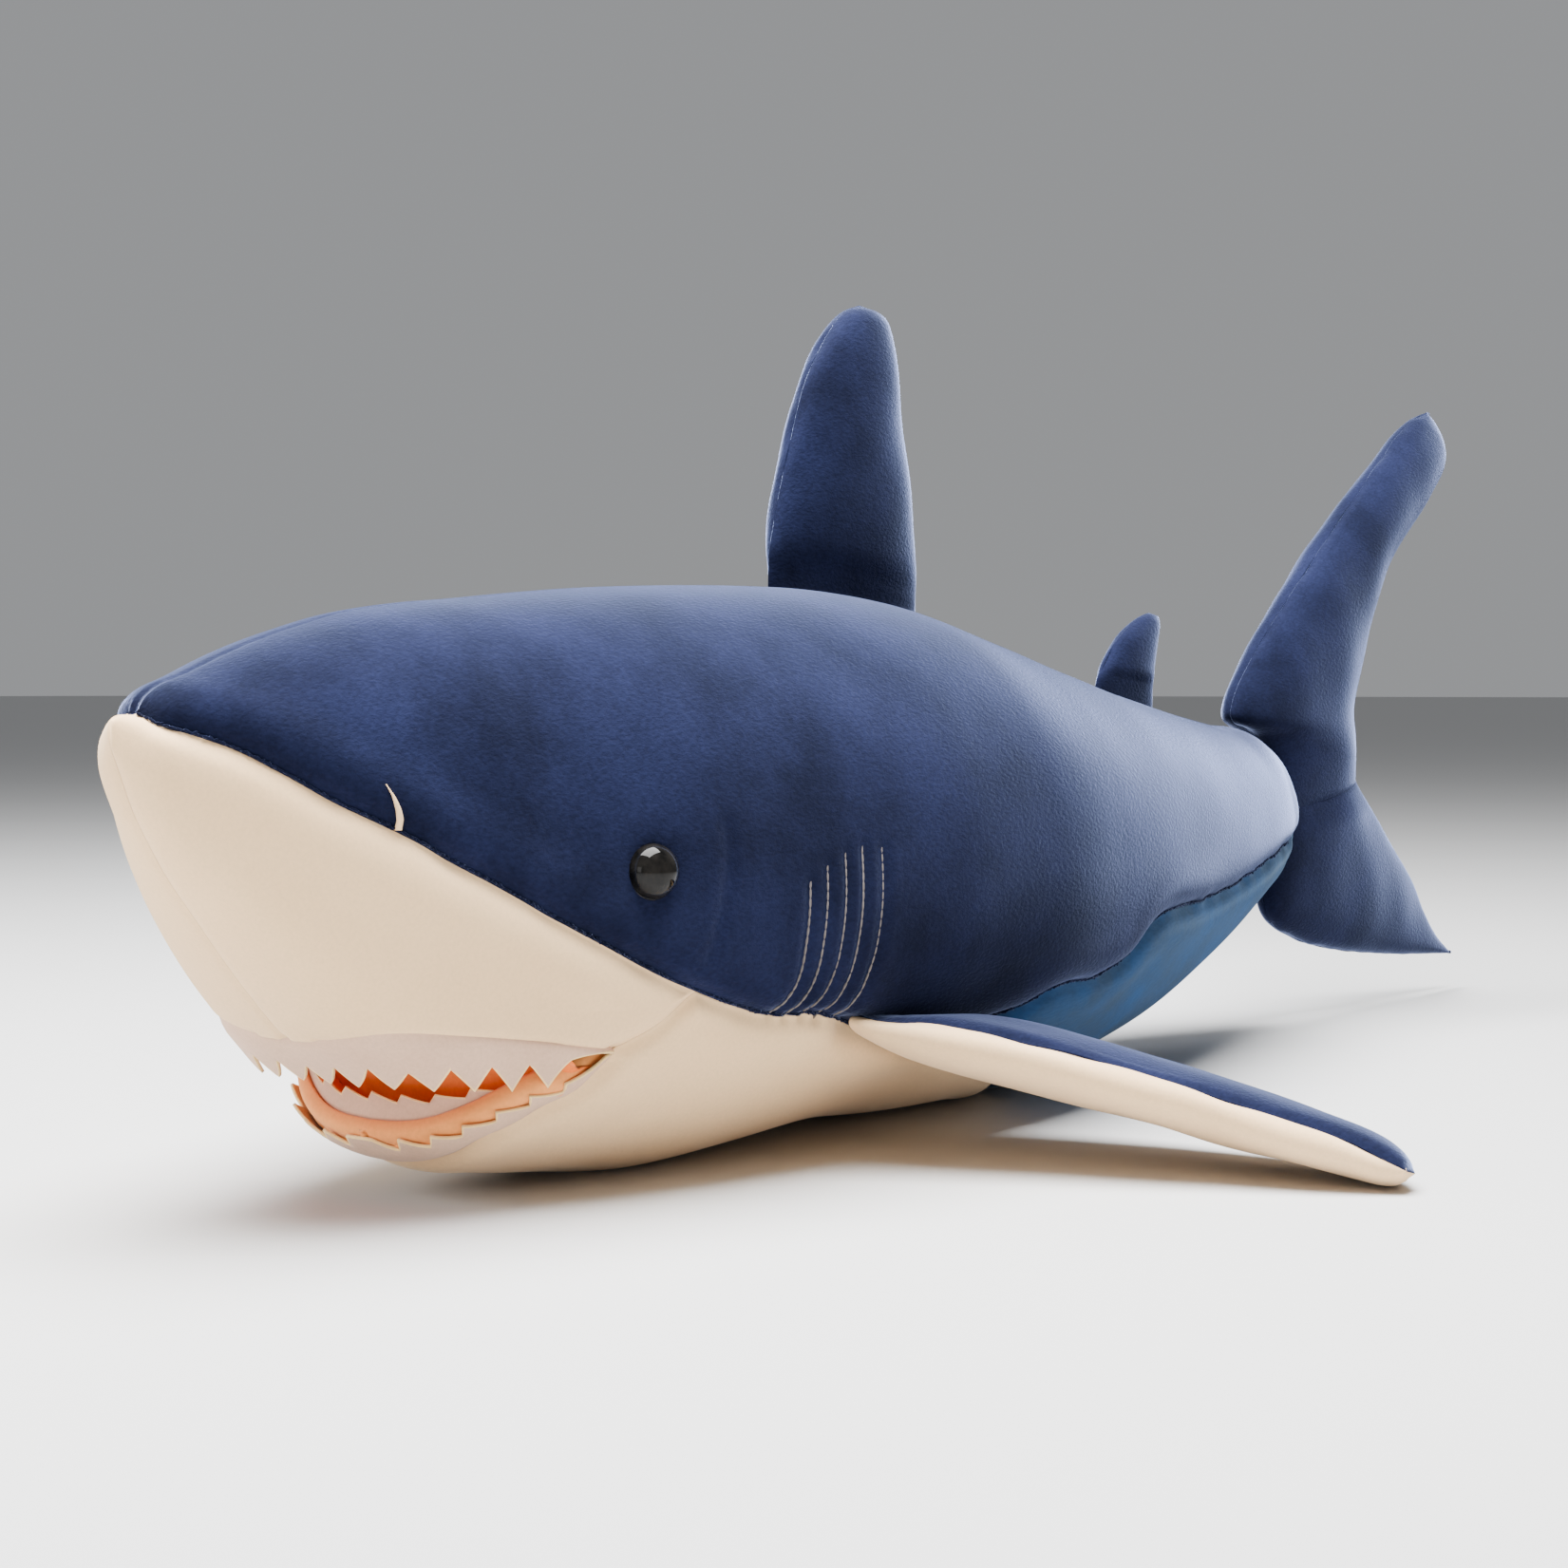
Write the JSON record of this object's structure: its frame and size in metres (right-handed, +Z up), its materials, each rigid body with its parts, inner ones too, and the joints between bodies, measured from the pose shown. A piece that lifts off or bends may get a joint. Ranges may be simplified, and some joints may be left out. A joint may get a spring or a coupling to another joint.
{
  "type": "plush shark",
  "caption": "Stuffed plush shark with sewn velvet panels, an open toothed mouth, glossy safety eyes and soft fins, jaw and tail that flex and spring back.",
  "frame": {"origin": "on the resting surface, under the middle of the toy's box", "axes": "+X to the shark's left, +Y from the nose to the tail, +Z up"},
  "size_m": [0.4442, 0.799, 0.276],
  "materials": {
    "navy_velvet": "short-pile velvet",
    "cream_velvet": "short-pile velvet",
    "sky_velvet": "short-pile velvet",
    "lilac_felt": "smooth felt with a cut edge",
    "orange_lining": "smooth lining",
    "gill_thread": "embroidery thread",
    "filling": "loose polyester fibre",
    "eye_black": "polished",
    "washer_white": "moulded"
  },
  "bodies": {
    "torso": {"back_left": "navy_velvet", "back_right": "navy_velvet", "face_left": "cream_velvet", "face_right": "cream_velvet", "belly_panel": "cream_velvet", "rear_belly_panel": "sky_velvet", "body_filling": "filling", "palate_lining": "orange_lining", "upper_teeth": "lilac_felt", "eye_left": "eye_black", "eye_right": "eye_black", "eye_washer_left": "washer_white", "eye_washer_right": "washer_white", "gill_stitching_left": "gill_thread", "gill_stitching_right": "gill_thread", "nostril_left": "cream_velvet", "nostril_right": "cream_velvet"},
    "jaw": {"chin_panel": "lilac_felt", "gum_lining": "orange_lining", "inner_teeth": "lilac_felt", "jaw_filling": "filling"},
    "dorsal": {"dorsal_left": "navy_velvet", "dorsal_right": "navy_velvet", "dorsal_filling": "filling"},
    "second_dorsal": {"second_dorsal_left": "navy_velvet", "second_dorsal_right": "navy_velvet", "second_dorsal_filling": "filling"},
    "tail": {"tail_left": "navy_velvet", "tail_right": "navy_velvet", "tail_filling": "filling"},
    "left_fin": {"left_fin_top": "navy_velvet", "left_fin_bottom": "cream_velvet", "left_fin_filling": "filling"},
    "right_fin": {"right_fin_top": "navy_velvet", "right_fin_bottom": "cream_velvet", "right_fin_filling": "filling"}
  },
  "joints": [
    {"name": "jaw_fold", "type": "hinge", "parent": "torso", "child": "jaw", "pos_m": [0, -0.2545, 0.044], "axis": [-1, 0, 0], "range_deg": [0, 6], "stiffness_Nm_per_rad": 0.3},
    {"name": "dorsal_flop", "type": "hinge", "parent": "torso", "child": "dorsal", "pos_m": [0, -0.1325, 0.1849], "axis": [0, 0.9897, -0.1431], "range_deg": [-30, 30], "stiffness_Nm_per_rad": 0.3},
    {"name": "second_dorsal_flop", "type": "hinge", "parent": "torso", "child": "second_dorsal", "pos_m": [0, 0.0735, 0.1478], "axis": [0, 0.9899, -0.1414], "range_deg": [-30, 30], "stiffness_Nm_per_rad": 0.08},
    {"name": "tail_swing", "type": "hinge", "parent": "torso", "child": "tail", "pos_m": [0, 0.1955, 0.09], "axis": [0, 0, 1], "range_deg": [-25, 25], "stiffness_Nm_per_rad": 0.5},
    {"name": "left_fin_flap", "type": "hinge", "parent": "torso", "child": "left_fin", "pos_m": [0.085, -0.1875, 0.044], "axis": [0.1533, -0.9636, 0.219], "range_deg": [0, 40], "stiffness_Nm_per_rad": 0.4},
    {"name": "right_fin_flap", "type": "hinge", "parent": "torso", "child": "right_fin", "pos_m": [-0.085, -0.1875, 0.044], "axis": [0.1533, 0.9636, -0.219], "range_deg": [0, 40], "stiffness_Nm_per_rad": 0.4}
  ]
}
